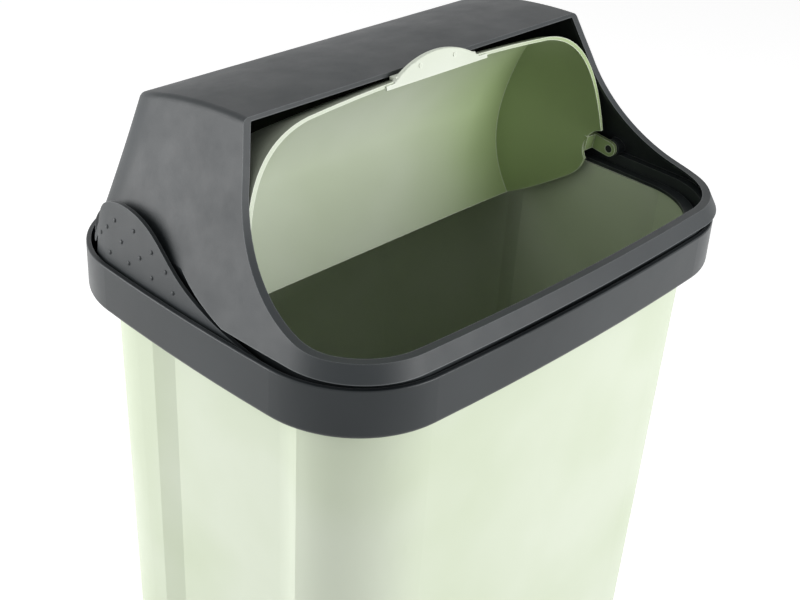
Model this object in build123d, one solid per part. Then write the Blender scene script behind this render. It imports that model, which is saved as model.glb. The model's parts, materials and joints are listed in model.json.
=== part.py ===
from build123d import *
import os
from math import cos, radians, sin, sqrt

os.makedirs("parts", exist_ok=True)

# Roll-top bin, millimetres, +Z up, front towards -Y, origin under the middle of the base.

# heights
BAND_Z = 540.0          # lower edge of the collar band
RIM_TOP = 28.0          # top of the bin's wall above the band's lower edge
ROOF_TOP = 146.0        # top of the hood above the band's lower edge

# bin body, outside half sizes at the band's lower edge
BODY_HX = 180.3
BODY_HY = 136.2
BODY_TAPER = 0.016      # growth per side for each millimetre of height
BODY_WALL = 2.4
BODY_CORNER = 62.0
BASE_THICK = 4.0
FOOT_STEP = 4.0
SIDE_RECESS = 5.0       # depth of the long hollow in each side

# collar band, outside half sizes at mid side
BAND_HX = 200.0
BAND_HY = 150.0
BAND_CORNER = 72.0
BAND_BOW_X = 6.6
BAND_BOW_Y = 8.7
BAND_WALL = 3.0
BAND_LOW = -2.4         # the rounded lower edge starts a little under BAND_Z
BAND_TOP = 31.0
CHANNEL_WALL = 2.5
BODY_GAP = 0.8

# hood
HOOD_WALL = 2.6
GROOVE = 4.5            # open groove between band and hood
NECK_HX = 187.4
NECK_FRONT = -143.6
NECK_REAR = 143.6
NECK_CORNER = 60.0
LIP_Z = 46.0            # height of the opening's front lip
SLED_BEND_Y = -108.0
SLED_END = (-16.0, 114.0)
ROOF_FRONT_Y = -4.0
ROOF_ROUND = 5.0        # softening of the crease round the roof
RIM_RETURN = 5.5        # width of the turned-in edge round the opening

# roll flap, turning about an axis along X
PIVOT_Y = -31.8
PIVOT_Z = 43.1
FLAP_ARC_R = 110.9      # the rolled panel's side edge is an arc off the pivot
FLAP_ARC_Y = -22.8
FLAP_ARC_Z = -4.7
FLAP_FAR = 98.0         # farthest reach of that edge from the pivot
FLAP_CROWN = 4.6
FLAP_WALL = 1.6
FLAP_LEAD = 79.1        # angle of the leading edge from straight back, upwards
CHEEK_LOW_R = 16.0
EAR_R = 5.8
EAR_OUT_X = 180.0
EAR_THICK = 3.0
PIN_D = 5.8
PIN_DEPTH = 4.6         # how deep each pin sits in its boss
EAR_HOLE_D = 5.9

# finger tab on the flap's leading edge
TAB_CHORD = 88.0
TAB_REACH = 15.6
TAB_THICK = 2.6
TAB_OVERLAP = 4.5       # how far the tab's face reaches down over the flap's edge
TAB_FOOT = 94.0

# dotted side grips
GRIP_THICK = 2.5
GRIP_GAP = 2.8          # open gap round the grip in the hood's side
POCKET_IN = 12.2        # the pocket's floor, in from the band's outside
POCKET_WALL = 2.2


def outline(hx, front, rear, bow_x, bow_y, corner, z, rear_corner=None):
    """Rounded rectangle with bowed sides, lying at height z."""
    cx = hx - bow_x
    fy = front + bow_y
    ry = rear - bow_y
    mid = (fy + ry) / 2
    a = ThreePointArc((-cx, fy), (0, front), (cx, fy))
    b = ThreePointArc((cx, fy), (hx, mid), (cx, ry))
    c = ThreePointArc((cx, ry), (0, rear), (-cx, ry))
    d = ThreePointArc((-cx, ry), (-hx, mid), (-cx, fy))
    face = make_face([a, b, c, d])
    ends = face.vertices().sort_by(Axis.Y)
    face = fillet(ends[:2], corner)
    ends = [v for v in face.vertices() if v.Y > mid and abs(v.Y - ry) < 0.001]
    face = fillet(ends, rear_corner or corner)
    return Pos(0, 0, z) * face


def moved_right(points, grow):
    """Shift each point of an open curve to the right of its run."""
    out = []
    last = len(points) - 1
    for i, (y, z) in enumerate(points):
        before = points[max(i - 1, 0)]
        after = points[min(i + 1, last)]
        dy = after[0] - before[0]
        dz = after[1] - before[1]
        size = sqrt(dy * dy + dz * dz)
        out.append((y + grow * dz / size, z - grow * dy / size))
    return out


def prism_yz(points_face, half):
    """Stand a YZ drawing up and carry it across X by half each way."""
    return extrude(Plane.YZ * points_face, amount=half, both=True)


# bin body

def body_half(z):
    k = BODY_TAPER * (z - BAND_Z)
    return BODY_HX + k, BODY_HY + k


def body_block(inset, z0, z1, corner):
    faces = []
    for z in (z0, z1):
        hx, hy = body_half(z)
        faces.append(outline(hx - inset, -hy + inset, hy - inset, 3, 4, corner, z))
    return loft(faces)


def recess_tool(side, shift):
    """Long shallow hollow in one side with soft steps at its two ends."""
    faces = []
    for z in (-1.0, BAND_Z + RIM_TOP + 1):
        hx, hy = body_half(z)
        x0 = hx + 1.0 - shift
        x1 = hx - SIDE_RECESS - shift
        rear = Line((x0, 62), (x1, 39))
        flat = Line((x1, 39), (x1, -62))
        front = Spline([(x1, -62), (x0, -96)], tangents=[(0, -1), (0, -1)])
        close = Polyline((x0, -96), (hx + 30, -96), (hx + 30, 62), (x0, 62))
        faces.append(Pos(0, 0, z) * make_face([rear, flat, front, close]))
    tool = loft(faces)
    if side < 0:
        tool = mirror(tool, about=Plane.YZ)
    return tool


def make_body():
    top = BAND_Z + RIM_TOP
    outer = body_block(0, 0, top, BODY_CORNER)
    foot_edges = outer.edges().group_by(Axis.Z)[0]
    outer = fillet(foot_edges, 9)
    inner = body_block(BODY_WALL, BASE_THICK + FOOT_STEP, top + 5, BODY_CORNER - BODY_WALL)
    inner_edges = inner.edges().group_by(Axis.Z)[0]
    inner = fillet(inner_edges, 7)
    for side in (1, -1):
        outer -= recess_tool(side, 0)
        inner -= recess_tool(side, BODY_WALL)
    under = body_block(16, -1, FOOT_STEP, BODY_CORNER - 16)
    for side in (1, -1):
        under -= recess_tool(side, 16)
    return outer - inner - under


# collar

def collar_block(inset, z0, z1):
    face = outline(
        BAND_HX - inset, -BAND_HY + inset, BAND_HY - inset,
        BAND_BOW_X, BAND_BOW_Y, BAND_CORNER - inset, BAND_Z + z0,
    )
    return extrude(face, amount=z1 - z0)


def above(z, depth=150):
    """Block standing on a level plane."""
    return Pos(0, 0, BAND_Z + z + depth / 2) * Box(520, 440, depth)


def make_collar():
    ring = collar_block(0, BAND_LOW, BAND_TOP)
    ring = fillet(ring.edges().group_by(Axis.Z)[0], 3.2)
    ring = fillet(ring.edges().group_by(Axis.Z)[-1], 1.0)
    channel = collar_block(BAND_WALL, BAND_LOW + BAND_WALL, BAND_TOP + 2)
    hx, hy = body_half(BAND_Z + RIM_TOP)
    hx += BODY_GAP
    hy += BODY_GAP
    cap_z = RIM_TOP + 0.2
    tube = extrude(
        outline(
            hx + CHANNEL_WALL, -hy - CHANNEL_WALL, hy + CHANNEL_WALL,
            3, 4, BODY_CORNER + CHANNEL_WALL, BAND_Z + BAND_LOW,
        ),
        amount=cap_z + CHANNEL_WALL - BAND_LOW,
    )
    channel -= tube
    bore = extrude(
        outline(hx, -hy, hy, 3, 4, BODY_CORNER, BAND_Z - 5), amount=cap_z + 5
    )
    mouth = extrude(
        outline(hx - 5.5, -hy + 5.5, hy - 5.5, 3, 4, BODY_CORNER - 5.5, BAND_Z - 5),
        amount=BAND_TOP + 10,
    )
    return ring - channel - bore - mouth


# hood

def hood_block(grow):
    z = BAND_Z
    low = outline(197.6 + grow, -150.5 - grow, 135.5 + grow, 5, 8, 58 + grow, z + 30, 54 + grow)
    mid = outline(174.3 + grow, -123.5 - grow, 127 + grow, 4, 6, 50 + grow, z + 88, 52 + grow)
    top = outline(153.5 + grow, -94.5 - grow, 119 + grow, 3, 5, 42 + grow, z + ROOF_TOP, 48 + grow)
    return loft([low, mid, top])


def roof_limit(drop):
    """Everything under the roof line, which curves down to the rear wall."""
    z = BAND_Z
    line = [
        (ROOF_FRONT_Y, z + ROOF_TOP),
        (40, z + 143),
        (75, z + 136.6),
        (100, z + 127.6),
        (114, z + 118),
        (135, z + 95),
    ]
    line = moved_right(line, drop)
    curve = Spline(line, tangents=[(1, 0), (0.62, -0.78)])
    flat = Line((-260, line[0][1]), line[0])
    rest = Polyline(line[-1], (170, z + 50), (170, z - 60), (-260, z - 60), (-260, line[0][1]))
    return prism_yz(make_face([flat, curve, rest]), 260)


def opening_cut(grow):
    """The sled-shaped opening: level front lip, big curve, steep rise to the roof."""
    z = BAND_Z
    start = (SLED_BEND_Y, z + LIP_Z - grow)
    end = (SLED_END[0] + 0.956 * grow, z + SLED_END[1] - 0.293 * grow)
    low = Line((-260, z + LIP_Z - grow), start)
    bend = TangentArc(start, end, tangent=(1, 0))
    rise = Line(end, (ROOF_FRONT_Y + grow, z + ROOF_TOP))
    rest = Polyline(
        (ROOF_FRONT_Y + grow, z + ROOF_TOP), (ROOF_FRONT_Y + grow, z + 200),
        (-260, z + 200), (-260, z + LIP_Z - grow),
    )
    return prism_yz(make_face([low, bend, rise, rest]), 260)


def neck_outline(inset, z):
    return outline(
        NECK_HX - inset, NECK_FRONT + inset, NECK_REAR - inset, 3.5, 4.5, NECK_CORNER - inset,
        BAND_Z + z,
    )


def grip_curve(grow):
    """Side drawing of a grip, its upper edge a long S running down to the front."""
    z = BAND_Z
    line = [
        (98.6, z + 28), (98.4, z + 48), (95, z + 62), (85, z + 70), (66, z + 73.7), (42, z + 69),
        (12, z + 49.8), (-22, z + 35.5), (-45, z + 30), (-68, z + 26),
    ]
    line = moved_right(line, grow)
    top = Spline(line)
    rest = Polyline(line[-1], (line[-1][0], z + 3), (line[0][0], z + 3), line[0])
    return make_face([top, rest])


def pocket_core(inset):
    """What stays between the two grip pockets, standing inside the band's outline."""
    face = outline(
        BAND_HX - inset, -BAND_HY + inset, BAND_HY - inset,
        BAND_BOW_X, BAND_BOW_Y, BAND_CORNER - inset, BAND_Z + 20,
    )
    return extrude(face, amount=90)


def soft_roof(block):
    """Rounds the crease that runs round the roof."""
    crease = []
    for edge in block.edges():
        box = edge.bounding_box()
        across = box.max.Y - box.min.Y < 0.01 and abs(box.max.Y - ROOF_FRONT_Y) < 0.5
        if box.min.Z > BAND_Z + 90 and not across:
            crease.append(edge)
    return fillet(crease, ROOF_ROUND)


def make_hood():
    base = BAND_TOP + GROOVE
    block = hood_block(0)
    under_roof = roof_limit(0)
    outer = soft_roof(block & under_roof) & above(base)
    inner = hood_block(-HOOD_WALL) & roof_limit(HOOD_WALL) & above(base + HOOD_WALL)
    pocket_back = prism_yz(grip_curve(GRIP_GAP + POCKET_WALL), 260) & above(base - 1)
    inner -= pocket_back - pocket_core(POCKET_IN + POCKET_WALL)
    flange = extrude(
        outline(
            NECK_HX + 1.6, NECK_FRONT - 1.6, NECK_REAR + 1.6, 3.5, 4.5, NECK_CORNER + 1.6,
            BAND_Z + base,
        ),
        amount=HOOD_WALL,
    )
    neck = extrude(neck_outline(0, BAND_WALL + BAND_LOW + 0.4), amount=60)
    neck -= above(base + 1)
    hood = outer + flange + neck - inner
    hood -= extrude(neck_outline(HOOD_WALL, 0), amount=base + HOOD_WALL + 0.1)
    edge = opening_cut(HOOD_WALL) & (outer - hood_block(-RIM_RETURN))
    hood += edge
    for side in (1, -1):
        boss = Pos(side * (EAR_OUT_X + 0.6 + 7), PIVOT_Y, BAND_Z + PIVOT_Z)
        hood += (boss * Rot(0, 90, 0) * Cylinder(6.6, 14)) & hood_block(-1)
    hood -= opening_cut(0)
    for side in (1, -1):
        bore = Pos(side * (EAR_OUT_X + PIN_DEPTH / 2), PIVOT_Y, BAND_Z + PIVOT_Z)
        hood -= bore * Rot(0, 90, 0) * Cylinder(PIN_D / 2, PIN_DEPTH)
    pocket = (prism_yz(grip_curve(GRIP_GAP), 260) & above(base - 1)) - pocket_core(POCKET_IN)
    return hood - pocket


def make_pin(side):
    inside = EAR_THICK - 0.5
    mid = side * (EAR_OUT_X + (PIN_DEPTH - inside) / 2)
    pin = Rot(0, 90, 0) * Cylinder(PIN_D / 2, PIN_DEPTH + inside)
    return Pos(mid, PIVOT_Y, BAND_Z + PIVOT_Z) * pin


# roll flap

CHEEK_STATIONS = [
    # angle, x of the crease, slope of the cheek where it leaves the crease, x at its low edge
    (-50.0, 155.0, (0.20, -1.0), 168.0),
    (-12.0, 152.0, (0.22, -1.0), 168.5),
    (14.0, 152.0, (0.26, -1.0), 169.5),
    (38.0, 147.0, (0.55, -1.0), 170.5),
    (59.0, 131.0, (1.0, -0.55), 171.0),
    (79.1, 112.0, (1.0, -0.12), 171.0),
]


def flap_radius(angle):
    """Distance of the panel's side edge from the pivot at one angle."""
    along = FLAP_ARC_Y * cos(radians(angle)) + FLAP_ARC_Z * sin(radians(angle))
    off = FLAP_ARC_Y ** 2 + FLAP_ARC_Z ** 2
    return min(along + sqrt(along ** 2 + FLAP_ARC_R ** 2 - off), FLAP_FAR)


def flap_section(angle, station, inset, low_r):
    """Closed section through the pivot axis at one angle."""
    crease_x, slope, low = station
    r = flap_radius(angle) - inset
    cx = crease_x - inset
    low_x = low - inset
    right = Spline([(cx, r), (low_x, low_r)], tangents=[slope, (0.06, -1.0)])
    left = Spline([(-low_x, low_r), (-cx, r)], tangents=[(0.06, 1.0), (slope[0], -slope[1])])
    crown = ThreePointArc((-cx, r), (0, r + FLAP_CROWN), (cx, r))
    foot = Line((low_x, low_r), (-low_x, low_r))
    face = make_face([right, foot, left, crown])
    plane = Plane(
        origin=(0, PIVOT_Y, BAND_Z + PIVOT_Z),
        x_dir=(1, 0, 0),
        z_dir=(0, -sin(radians(angle)), cos(radians(angle))),
    )
    return plane * face


def flap_block(inset, low_r, over):
    faces = []
    last = len(CHEEK_STATIONS) - 1
    for i, (angle, *station) in enumerate(CHEEK_STATIONS):
        if i == 0:
            angle -= over
        if i == last:
            angle += over
        faces.append(flap_section(angle, station, inset, low_r))
    return loft(faces)


def cheek_trim():
    """Everything above the cheeks' bulging lower edge and the panel's trailing edge."""
    curve = Spline([(75, -56.6), (49.8, -43.3), (31, -31), (18.4, -21.1), (13, -9.3)])
    rest = Polyline(
        (13, -9.3), (-200, -9.3), (-200, 200), (200, 200), (200, -151), (75, -56.6)
    )
    face = make_face([curve, rest])
    return Pos(0, PIVOT_Y, BAND_Z + PIVOT_Z) * prism_yz(face, 260)


def make_flap(outer):
    inner = flap_block(FLAP_WALL, CHEEK_LOW_R - 8, 3.0)
    flap = (outer - inner) & cheek_trim()
    for side in (1, -1):
        x0 = side * (EAR_OUT_X - EAR_THICK / 2)
        ear = Rot(0, 90, 0) * Cylinder(EAR_R, EAR_THICK)
        arm = Rot(8, 0, 0) * Pos(0, 9.5, 0) * Box(EAR_THICK, 19, 2 * EAR_R)
        step = Rot(8, 0, 0) * Pos(side * -5, 16.5, 0) * Box(EAR_THICK + 9, 5, 2 * EAR_R)
        flap += Pos(x0, PIVOT_Y, BAND_Z + PIVOT_Z) * (ear + arm + step)
    hole = Rot(0, 90, 0) * Cylinder(EAR_HOLE_D / 2, 400)
    return flap - Pos(0, PIVOT_Y, BAND_Z + PIVOT_Z) * hole


def make_tab(flap_outer):
    rise = flap_radius(FLAP_LEAD) + FLAP_CROWN - TAB_OVERLAP
    radius = ((TAB_CHORD / 2) ** 2 + TAB_REACH ** 2) / (2 * TAB_REACH)
    disc = Pos(0, rise + TAB_REACH - radius) * Circle(radius)
    low = Pos(0, rise - 100) * Rectangle(300, 200)
    plate = Pos(0, 0, 1.2) * extrude(disc - low, amount=-TAB_THICK - 1.2)
    plate = fillet(plate.edges().filter_by(GeomType.CIRCLE), 1.0)
    strip = Pos(0, rise + 1.4, 0.6) * Box(TAB_FOOT, 2.8, 1.2)
    foot = Pos(0, rise + TAB_OVERLAP + 0.4, -3.0) * Box(TAB_CHORD - 14, 2.4, 6.0)
    tab = plate + strip + foot
    for x in (-16, 16):
        tab += Pos(x, rise + 9, 1.3) * Cylinder(1.6, 0.8)
    # local x stays across, local y runs outwards from the pivot, local z towards the front
    lead = FLAP_LEAD
    plane = Plane(
        origin=(0, PIVOT_Y, BAND_Z + PIVOT_Z),
        x_dir=(1, 0, 0),
        z_dir=(0, -sin(radians(lead)), cos(radians(lead))),
    )
    return (plane * tab) - flap_outer


# side grips

def grip_sheet(inset):
    """Inside of a ring that follows the band and then leans in towards the hood's side."""
    faces = []
    for z, lean in ((0, 4.2), (36, 5.6), (80, 11.0)):
        d = lean + inset
        faces.append(outline(
            BAND_HX - d, -BAND_HY + d, BAND_HY - d, BAND_BOW_X, BAND_BOW_Y,
            BAND_CORNER - d, BAND_Z + z,
        ))
    return loft(faces)


def make_grip(side):
    z = BAND_Z
    half = Pos(side * 200, 0, z) * Box(300, 600, 400)
    plate = (grip_sheet(0) - grip_sheet(GRIP_THICK)) & prism_yz(grip_curve(0), 260) & half
    foot = extrude(
        outline(
            BAND_HX - 5.5, -BAND_HY + 5.5, BAND_HY - 5.5, BAND_BOW_X, BAND_BOW_Y,
            BAND_CORNER - 5.5, z + 6,
        ),
        amount=2.6,
    )
    foot -= extrude(neck_outline(-0.6, 0), amount=60)
    slab = Pos(side * 200, 17, z + 8) * Box(40, 140, 40)
    return plate + (foot & slab)


def save(name, shape):
    shape.label = name
    export_step(shape, os.path.join("parts", name + ".step"))


save("bin_body", make_body())
save("rim_collar", make_collar())
save("hood_shell", make_hood())
flap_outer = flap_block(0, CHEEK_LOW_R, 0.0)
save("roll_flap", make_flap(flap_outer))
save("finger_tab", make_tab(flap_outer))
save("pivot_pin_right", make_pin(1))
save("pivot_pin_left", make_pin(-1))
save("grip_right", make_grip(1))
save("grip_left", make_grip(-1))
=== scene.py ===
import json
from math import cos, radians, sin

import bpy
from mathutils import Matrix, Vector
from mathutils.bvhtree import BVHTree


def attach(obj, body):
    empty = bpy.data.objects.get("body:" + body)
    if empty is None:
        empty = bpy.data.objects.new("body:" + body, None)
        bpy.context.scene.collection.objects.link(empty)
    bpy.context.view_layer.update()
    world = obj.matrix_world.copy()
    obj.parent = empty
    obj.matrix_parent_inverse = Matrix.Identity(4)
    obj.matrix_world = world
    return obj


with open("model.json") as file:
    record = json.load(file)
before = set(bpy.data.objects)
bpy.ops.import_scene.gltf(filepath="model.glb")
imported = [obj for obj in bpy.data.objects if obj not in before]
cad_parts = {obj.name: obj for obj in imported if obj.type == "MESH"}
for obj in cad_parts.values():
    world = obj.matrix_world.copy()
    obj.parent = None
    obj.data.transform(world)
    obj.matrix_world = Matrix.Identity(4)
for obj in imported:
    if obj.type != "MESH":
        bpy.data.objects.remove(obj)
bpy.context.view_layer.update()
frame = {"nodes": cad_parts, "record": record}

# sizes and places in metres

BAND_Z = 0.540                       # lower edge of the collar
DOT_RADIUS = 0.0015
DOT_HEIGHT = 0.5                     # a dot's height as a share of its radius
CAST_X = 0.25                        # clear of the grips, where each dot is cast inwards from
MM = 1000.0
FLOOR_HALF = 6.0

# how a noise is used: the usual span of its values, and where the two colours of a drift start

NOISE_LOW, NOISE_HIGH = 0.3, 0.7
DRIFT_DARK, DRIFT_LIGHT = 0.35, 0.65
FLOW_SCALE, FLOW_STRENGTH, FLOW_DEPTH = 35.0, 0.12, 0.0006
GRAIN_STRENGTH = 0.6

# painted edge highlights: rounding, and the two turns of the normal between which they fade in

EDGE_RADIUS, EDGE_START, EDGE_END = 0.0012, 0.97, 0.80
EDGE_SAMPLES = 6

# light and floor

WORLD_LIGHT = 0.36
FLOOR_GREY = (0.72, 0.72, 0.72, 1)
FLOOR_GLOW = 0.62
LAMPS = [
    # name, place, aim, width, height, power in watts
    ("left_rear_box", (-1.7, 1.5, 0.95), (0, 0, 0.55), 1.5, 1.7, 52),
    ("front_box", (0.75, -2.2, 1.0), (0, 0, 0.6), 1.2, 1.2, 46),
]

# the camera that the photo was taken with, as fitted to it

CAMERA_PLACE = (-0.63422, -0.57244, 0.46432 + BAND_Z)
CAMERA_YAW, CAMERA_PITCH, CAMERA_ROLL = 47.596, 30.281, 3.608
CAMERA_LENS, CAMERA_SENSOR = 63.04, 36.0

# linear colours

SAGE = (0.56, 0.625, 0.475, 1)
SAGE_PALE = (0.62, 0.675, 0.55, 1)
# painted shade: the deeper green blended onto the flap's right end
SAGE_PAINTED_SHADE = (0.33, 0.43, 0.20, 1)
TAB_WHITE = (0.76, 0.80, 0.72, 1)
# painted highlight colour for the flap and tab edges
RIM_HIGHLIGHT = (0.84, 0.88, 0.78, 1)
GRAPHITE = (0.017, 0.021, 0.023, 1)
GRAPHITE_LIGHT = (0.028, 0.033, 0.036, 1)
# painted highlight colour for the graphite edges
GRAPHITE_EDGE_HIGHLIGHT = (0.11, 0.12, 0.125, 1)
PIN_BLACK = (0.008, 0.009, 0.009, 1)


# material building

def new_material(name):
    mat = bpy.data.materials.new(name)
    mat.use_nodes = True
    tree = mat.node_tree
    tree.nodes.clear()
    out = tree.nodes.new("ShaderNodeOutputMaterial")
    shader = tree.nodes.new("ShaderNodeBsdfPrincipled")
    tree.links.new(shader.outputs["BSDF"], out.inputs["Surface"])
    return mat, tree, shader


def object_coords(tree):
    return tree.nodes.new("ShaderNodeTexCoord").outputs["Object"]


def noise(tree, coords, scale, detail=3.0, rough=0.5):
    node = tree.nodes.new("ShaderNodeTexNoise")
    node.inputs["Scale"].default_value = scale
    node.inputs["Detail"].default_value = detail
    node.inputs["Roughness"].default_value = rough
    tree.links.new(coords, node.inputs["Vector"])
    return node.outputs["Fac"]


def ramp(tree, fac, stops):
    node = tree.nodes.new("ShaderNodeValToRGB")
    band = node.color_ramp
    while len(band.elements) < len(stops):
        band.elements.new(0.5)
    for element, (pos, colour) in zip(band.elements, stops):
        element.position = pos
        element.color = colour
    tree.links.new(fac, node.inputs["Fac"])
    return node.outputs["Color"]


def spread(tree, fac, low, high):
    node = tree.nodes.new("ShaderNodeMapRange")
    node.inputs["From Min"].default_value = NOISE_LOW
    node.inputs["From Max"].default_value = NOISE_HIGH
    node.inputs["To Min"].default_value = low
    node.inputs["To Max"].default_value = high
    tree.links.new(fac, node.inputs["Value"])
    return node.outputs["Result"]


def bump(tree, height, strength, distance, below=None):
    node = tree.nodes.new("ShaderNodeBump")
    node.inputs["Strength"].default_value = strength
    node.inputs["Distance"].default_value = distance
    tree.links.new(height, node.inputs["Height"])
    if below is not None:
        tree.links.new(below, node.inputs["Normal"])
    return node.outputs["Normal"]


def blend(tree, fac, first, second):
    node = tree.nodes.new("ShaderNodeMix")
    node.data_type = "RGBA"
    tree.links.new(fac, node.inputs[0])
    for socket, value in ((node.inputs[6], first), (node.inputs[7], second)):
        if isinstance(value, tuple):
            socket.default_value = value
        else:
            tree.links.new(value, socket)
    return node.outputs[2]


def along(tree, coords, axis, start, end):
    """Runs from 0 to 1 between two places on one object axis."""
    split = tree.nodes.new("ShaderNodeSeparateXYZ")
    tree.links.new(coords, split.inputs[0])
    node = tree.nodes.new("ShaderNodeMapRange")
    node.interpolation_type = "SMOOTHSTEP"
    node.inputs["From Min"].default_value = start
    node.inputs["From Max"].default_value = end
    tree.links.new(split.outputs[axis], node.inputs["Value"])
    return node.outputs["Result"]


def painted_edge_highlight(tree):
    """0 on open faces, 1 along crisp outer edges, taken from a rounded normal: the mask of the
    painted edge highlight.
    """
    rounded = tree.nodes.new("ShaderNodeBevel")
    rounded.samples = EDGE_SAMPLES
    rounded.inputs["Radius"].default_value = EDGE_RADIUS
    plain = tree.nodes.new("ShaderNodeNewGeometry")
    dot = tree.nodes.new("ShaderNodeVectorMath")
    dot.operation = "DOT_PRODUCT"
    tree.links.new(rounded.outputs["Normal"], dot.inputs[0])
    tree.links.new(plain.outputs["Normal"], dot.inputs[1])
    node = tree.nodes.new("ShaderNodeMapRange")
    node.inputs["From Min"].default_value = EDGE_START
    node.inputs["From Max"].default_value = EDGE_END
    tree.links.new(dot.outputs["Value"], node.inputs["Value"])
    return node.outputs["Result"]


def moulded_plastic(name, dark, light, rough, grain_scale, grain_depth, specular=0.5, cloud=9.0,
                    edge_highlight=None, painted_shade=None):
    """Moulded plastic: slow colour drift, uneven polish and a fine spark-eroded grain; optionally a
    painted shade along one axis and a painted highlight along edges.
    """
    mat, tree, shader = new_material(name)
    coords = object_coords(tree)
    drift = noise(tree, coords, cloud, 2.0)
    colour = ramp(tree, drift, [(DRIFT_DARK, dark), (DRIFT_LIGHT, light)])
    # optional painted shade: a deeper tone blended in along one object axis
    if painted_shade is not None:
        shade_tone, axis, start, end = painted_shade
        colour = blend(tree, along(tree, coords, axis, start, end), colour, shade_tone)
    # optional painted highlight: a paler tone along crisp outer edges
    if edge_highlight is not None:
        colour = blend(tree, painted_edge_highlight(tree), colour, edge_highlight)
    tree.links.new(colour, shader.inputs["Base Color"])
    polish = noise(tree, coords, cloud * 4.0, 4.0, 0.6)
    tree.links.new(spread(tree, polish, rough[0], rough[1]), shader.inputs["Roughness"])
    grain = noise(tree, coords, grain_scale, 3.0, 0.55)
    flow = noise(tree, coords, FLOW_SCALE, 1.0)
    soft = bump(tree, flow, FLOW_STRENGTH, FLOW_DEPTH)
    tree.links.new(bump(tree, grain, GRAIN_STRENGTH, grain_depth, soft), shader.inputs["Normal"])
    shader.inputs["Specular IOR Level"].default_value = specular
    return mat


def finish_slots():
    mats = {
        "body_plastic": moulded_plastic(
            "sage_satin", SAGE, SAGE_PALE, (0.42, 0.52), 900.0, 0.00002, 0.4),
        # the flap's right end gets a painted shade growing towards +X, standing in for the shadow of
        # the hood's right wall
        "flap_plastic": moulded_plastic(
            "sage_flap", SAGE, SAGE_PALE, (0.34, 0.44), 900.0, 0.00001, 0.45,
            edge_highlight=RIM_HIGHLIGHT, painted_shade=(SAGE_PAINTED_SHADE, "X", 0.02, 0.16)),
        "tab_plastic": moulded_plastic(
            "tab_pale", SAGE_PALE, TAB_WHITE, (0.36, 0.46), 900.0, 0.00001, 0.5, edge_highlight=RIM_HIGHLIGHT),
        "collar_plastic": moulded_plastic(
            "graphite_smooth", GRAPHITE, GRAPHITE_LIGHT, (0.30, 0.38), 1400.0, 0.00001, 0.28,
            edge_highlight=GRAPHITE_EDGE_HIGHLIGHT),
        "hood_plastic": moulded_plastic(
            "graphite_grain", GRAPHITE, GRAPHITE_LIGHT, (0.44, 0.54), 1600.0, 0.00005, 0.34,
            edge_highlight=GRAPHITE_EDGE_HIGHLIGHT),
        "grip_plastic": moulded_plastic(
            "graphite_grip", GRAPHITE, GRAPHITE_LIGHT, (0.40, 0.50), 1600.0, 0.00004, 0.34,
            edge_highlight=GRAPHITE_EDGE_HIGHLIGHT),
        "pin_plastic": moulded_plastic(
            "pin_dark", PIN_BLACK, GRAPHITE, (0.4, 0.5), 1200.0, 0.00001, 0.3),
    }
    slots = {part["node"]: part["material_slot"] for part in frame["record"]["subparts"]}
    for name, node in frame["nodes"].items():
        for place in node.material_slots:
            place.material = mats[slots[name]]
        if not node.material_slots:
            node.data.materials.append(mats[slots[name]])
    return mats


# raised dots on the side grips

def dot_tree():
    """Small domes on marked points, each standing on its surface."""
    tree = bpy.data.node_groups.new("grip_dots", "GeometryNodeTree")
    face = tree.interface
    face.new_socket("Geometry", in_out="INPUT", socket_type="NodeSocketGeometry")
    size = face.new_socket("Dot Radius", in_out="INPUT", socket_type="NodeSocketFloat")
    size.default_value = DOT_RADIUS
    height = face.new_socket("Dot Height", in_out="INPUT", socket_type="NodeSocketFloat")
    height.default_value = DOT_HEIGHT
    paint = face.new_socket("Finish", in_out="INPUT", socket_type="NodeSocketMaterial")
    face.new_socket("Geometry", in_out="OUTPUT", socket_type="NodeSocketGeometry")
    give = tree.nodes.new("NodeGroupInput")
    take = tree.nodes.new("NodeGroupOutput")
    ball = tree.nodes.new("GeometryNodeMeshUVSphere")
    ball.inputs["Segments"].default_value = 14
    ball.inputs["Rings"].default_value = 8
    tree.links.new(give.outputs["Dot Radius"], ball.inputs["Radius"])
    smooth = tree.nodes.new("GeometryNodeSetShadeSmooth")
    tree.links.new(ball.outputs["Mesh"], smooth.inputs["Geometry"])
    flat = tree.nodes.new("GeometryNodeTransform")
    squash = tree.nodes.new("ShaderNodeCombineXYZ")
    squash.inputs["X"].default_value = 1.0
    squash.inputs["Y"].default_value = 1.0
    tree.links.new(give.outputs["Dot Height"], squash.inputs["Z"])
    tree.links.new(smooth.outputs["Geometry"], flat.inputs["Geometry"])
    tree.links.new(squash.outputs["Vector"], flat.inputs["Scale"])
    lean = tree.nodes.new("GeometryNodeInputNamedAttribute")
    lean.data_type = "FLOAT_VECTOR"
    lean.inputs["Name"].default_value = "outward"
    turn = tree.nodes.new("FunctionNodeAlignRotationToVector")
    turn.axis = "Z"
    tree.links.new(lean.outputs["Attribute"], turn.inputs["Vector"])
    spots = tree.nodes.new("GeometryNodeMeshToPoints")
    tree.links.new(give.outputs["Geometry"], spots.inputs["Mesh"])
    place = tree.nodes.new("GeometryNodeInstanceOnPoints")
    tree.links.new(spots.outputs["Points"], place.inputs["Points"])
    tree.links.new(flat.outputs["Geometry"], place.inputs["Instance"])
    tree.links.new(turn.outputs["Rotation"], place.inputs["Rotation"])
    real = tree.nodes.new("GeometryNodeRealizeInstances")
    tree.links.new(place.outputs["Instances"], real.inputs["Geometry"])
    coat = tree.nodes.new("GeometryNodeSetMaterial")
    tree.links.new(real.outputs["Geometry"], coat.inputs["Geometry"])
    tree.links.new(give.outputs["Finish"], coat.inputs["Material"])
    tree.links.new(coat.outputs["Geometry"], take.inputs["Geometry"])
    return tree, {"radius": size.identifier, "height": height.identifier, "finish": paint.identifier}


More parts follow.
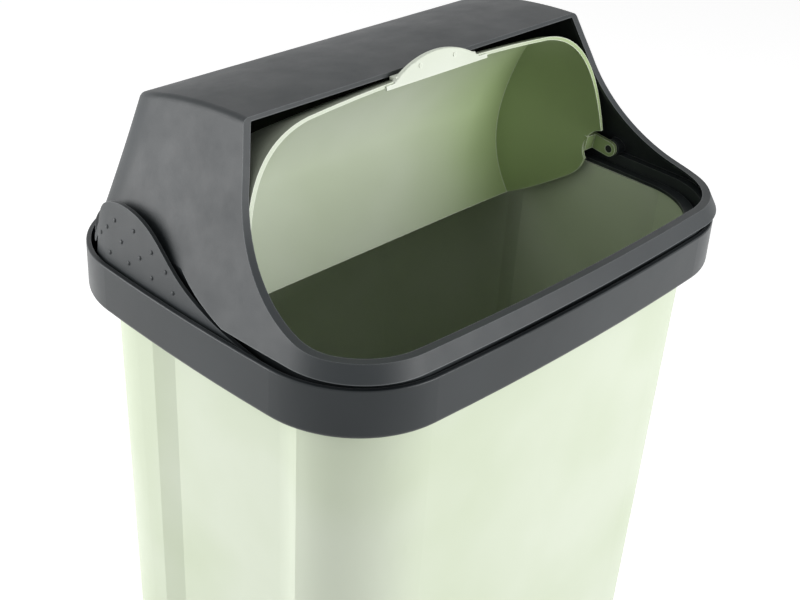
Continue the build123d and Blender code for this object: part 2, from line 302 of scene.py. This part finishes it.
def surface_tree(obj):
    depsgraph = bpy.context.evaluated_depsgraph_get()
    return BVHTree.FromObject(obj, depsgraph)


DOT_ROWS = [
    # first dot of each row, step to the next one, count: all as y and z in millimetres
    ((75.7, 61.4), (8.3, -7.5), 3),
    ((55.2, 62.3), (11.9, -11.9), 3),
    ((35.9, 56.0), (11.2, -8.2), 3),
    ((21.2, 49.2), (13.0, -9.4), 2),
    ((13.1, 38.8), (13.0, -9.4), 1),
]


def grip_spots(node, side):
    """Slanting rows of points on the outer face of one grip."""
    tree = surface_tree(node)
    spots = []
    for first, step, count in DOT_ROWS:
        for i in range(count):
            y = (first[0] + i * step[0]) / MM
            z = BAND_Z + (first[1] + i * step[1]) / MM
            start = Vector((side * CAST_X, y, z))
            place, normal, _, _ = tree.ray_cast(start, Vector((-side, 0, 0)))
            if place is not None:
                spots.append((place, normal if normal.x * side > 0 else -normal))
    return spots


def dotted(name, node, side, tree, sockets, finish):
    """The raised dots of one grip, as a plain mesh in one piece."""
    spots = grip_spots(node, side)
    mesh = bpy.data.meshes.new(name + "_spots")
    mesh.from_pydata([tuple(p) for p, n in spots], [], [])
    outward = mesh.attributes.new("outward", "FLOAT_VECTOR", "POINT")
    for i, (p, n) in enumerate(spots):
        outward.data[i].vector = n
    carrier = bpy.data.objects.new(name + "_carrier", mesh)
    bpy.context.scene.collection.objects.link(carrier)
    made = carrier.modifiers.new("dots", "NODES")
    made.node_group = tree
    made[sockets["radius"]] = DOT_RADIUS
    made[sockets["height"]] = DOT_HEIGHT
    made[sockets["finish"]] = finish
    depsgraph = bpy.context.evaluated_depsgraph_get()
    solid = bpy.data.meshes.new_from_object(carrier.evaluated_get(depsgraph))
    bpy.data.objects.remove(carrier)
    piece = bpy.data.objects.new(name, solid)
    bpy.context.scene.collection.objects.link(piece)
    return piece


# studio

def camera_ray_mix(tree, lit, seen, out_socket):
    """Shows the second shader to the camera, reflections and clear things, the first to light."""
    path = tree.nodes.new("ShaderNodeLightPath")
    first = tree.nodes.new("ShaderNodeMath")
    first.operation = "MAXIMUM"
    tree.links.new(path.outputs["Is Camera Ray"], first.inputs[0])
    tree.links.new(path.outputs["Is Glossy Ray"], first.inputs[1])
    second = tree.nodes.new("ShaderNodeMath")
    second.operation = "MAXIMUM"
    tree.links.new(first.outputs[0], second.inputs[0])
    tree.links.new(path.outputs["Is Transmission Ray"], second.inputs[1])
    mix = tree.nodes.new("ShaderNodeMixShader")
    tree.links.new(second.outputs[0], mix.inputs[0])
    tree.links.new(lit, mix.inputs[1])
    tree.links.new(seen, mix.inputs[2])
    tree.links.new(mix.outputs[0], out_socket)


def make_world():
    world = bpy.data.worlds.new("studio")
    bpy.context.scene.world = world
    world.use_nodes = True
    tree = world.node_tree
    tree.nodes.clear()
    out = tree.nodes.new("ShaderNodeOutputWorld")
    lit = tree.nodes.new("ShaderNodeBackground")
    lit.inputs["Color"].default_value = (1, 1, 1, 1)
    lit.inputs["Strength"].default_value = WORLD_LIGHT
    seen = tree.nodes.new("ShaderNodeBackground")
    seen.inputs["Color"].default_value = (1, 1, 1, 1)
    seen.inputs["Strength"].default_value = 1.0
    camera_ray_mix(tree, lit.outputs[0], seen.outputs[0], out.inputs["Surface"])


def make_floor():
    mesh = bpy.data.meshes.new("floor")
    half = FLOOR_HALF
    corners = [(-half, -half, 0), (half, -half, 0), (half, half, 0), (-half, half, 0)]
    mesh.from_pydata(corners, [], [(0, 1, 2, 3)])
    floor = bpy.data.objects.new("floor", mesh)
    bpy.context.scene.collection.objects.link(floor)
    mat = bpy.data.materials.new("floor_white")
    mat.use_nodes = True
    tree = mat.node_tree
    tree.nodes.clear()
    out = tree.nodes.new("ShaderNodeOutputMaterial")
    matte = tree.nodes.new("ShaderNodeBsdfDiffuse")
    matte.inputs["Color"].default_value = FLOOR_GREY
    glow = tree.nodes.new("ShaderNodeEmission")
    glow.inputs["Strength"].default_value = FLOOR_GLOW
    both = tree.nodes.new("ShaderNodeAddShader")
    tree.links.new(matte.outputs[0], both.inputs[0])
    tree.links.new(glow.outputs[0], both.inputs[1])
    camera_ray_mix(tree, matte.outputs[0], both.outputs[0], out.inputs["Surface"])
    mesh.materials.append(mat)


def softbox(name, place, aim, width, height, power):
    data = bpy.data.lights.new(name, "AREA")
    data.shape = "RECTANGLE"
    data.size = width
    data.size_y = height
    data.energy = power
    lamp = bpy.data.objects.new(name, data)
    bpy.context.scene.collection.objects.link(lamp)
    lamp.location = place
    towards = Vector(aim) - Vector(place)
    lamp.rotation_euler = towards.to_track_quat("-Z", "Y").to_euler()


def make_lights():
    for name, place, aim, width, height, power in LAMPS:
        softbox(name, place, aim, width, height, power)


def make_camera():
    yaw = radians(CAMERA_YAW)
    pitch = radians(CAMERA_PITCH)
    roll = radians(CAMERA_ROLL)
    ahead = Vector((sin(yaw) * cos(pitch), cos(yaw) * cos(pitch), -sin(pitch)))
    level = Vector((cos(yaw), -sin(yaw), 0))
    above = level.cross(ahead)
    across = cos(roll) * level + sin(roll) * above
    up = -sin(roll) * level + cos(roll) * above
    data = bpy.data.cameras.new("camera")
    data.sensor_width = CAMERA_SENSOR
    data.lens = CAMERA_LENS
    camera = bpy.data.objects.new("camera", data)
    bpy.context.scene.collection.objects.link(camera)
    turn = Matrix((across, up, -ahead)).transposed().to_4x4()
    camera.matrix_world = Matrix.Translation(CAMERA_PLACE) @ turn
    bpy.context.scene.camera = camera


finishes = finish_slots()
dots, dot_sockets = dot_tree()
for side, word in ((1, "right"), (-1, "left")):
    piece = dotted("grip_dots_" + word, frame["nodes"]["grip_" + word], side, dots, dot_sockets,
                   finishes["grip_plastic"])
    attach(piece, word + "_grip")

make_world()
make_floor()
make_lights()
make_camera()
bpy.context.scene.view_settings.view_transform = "Standard"
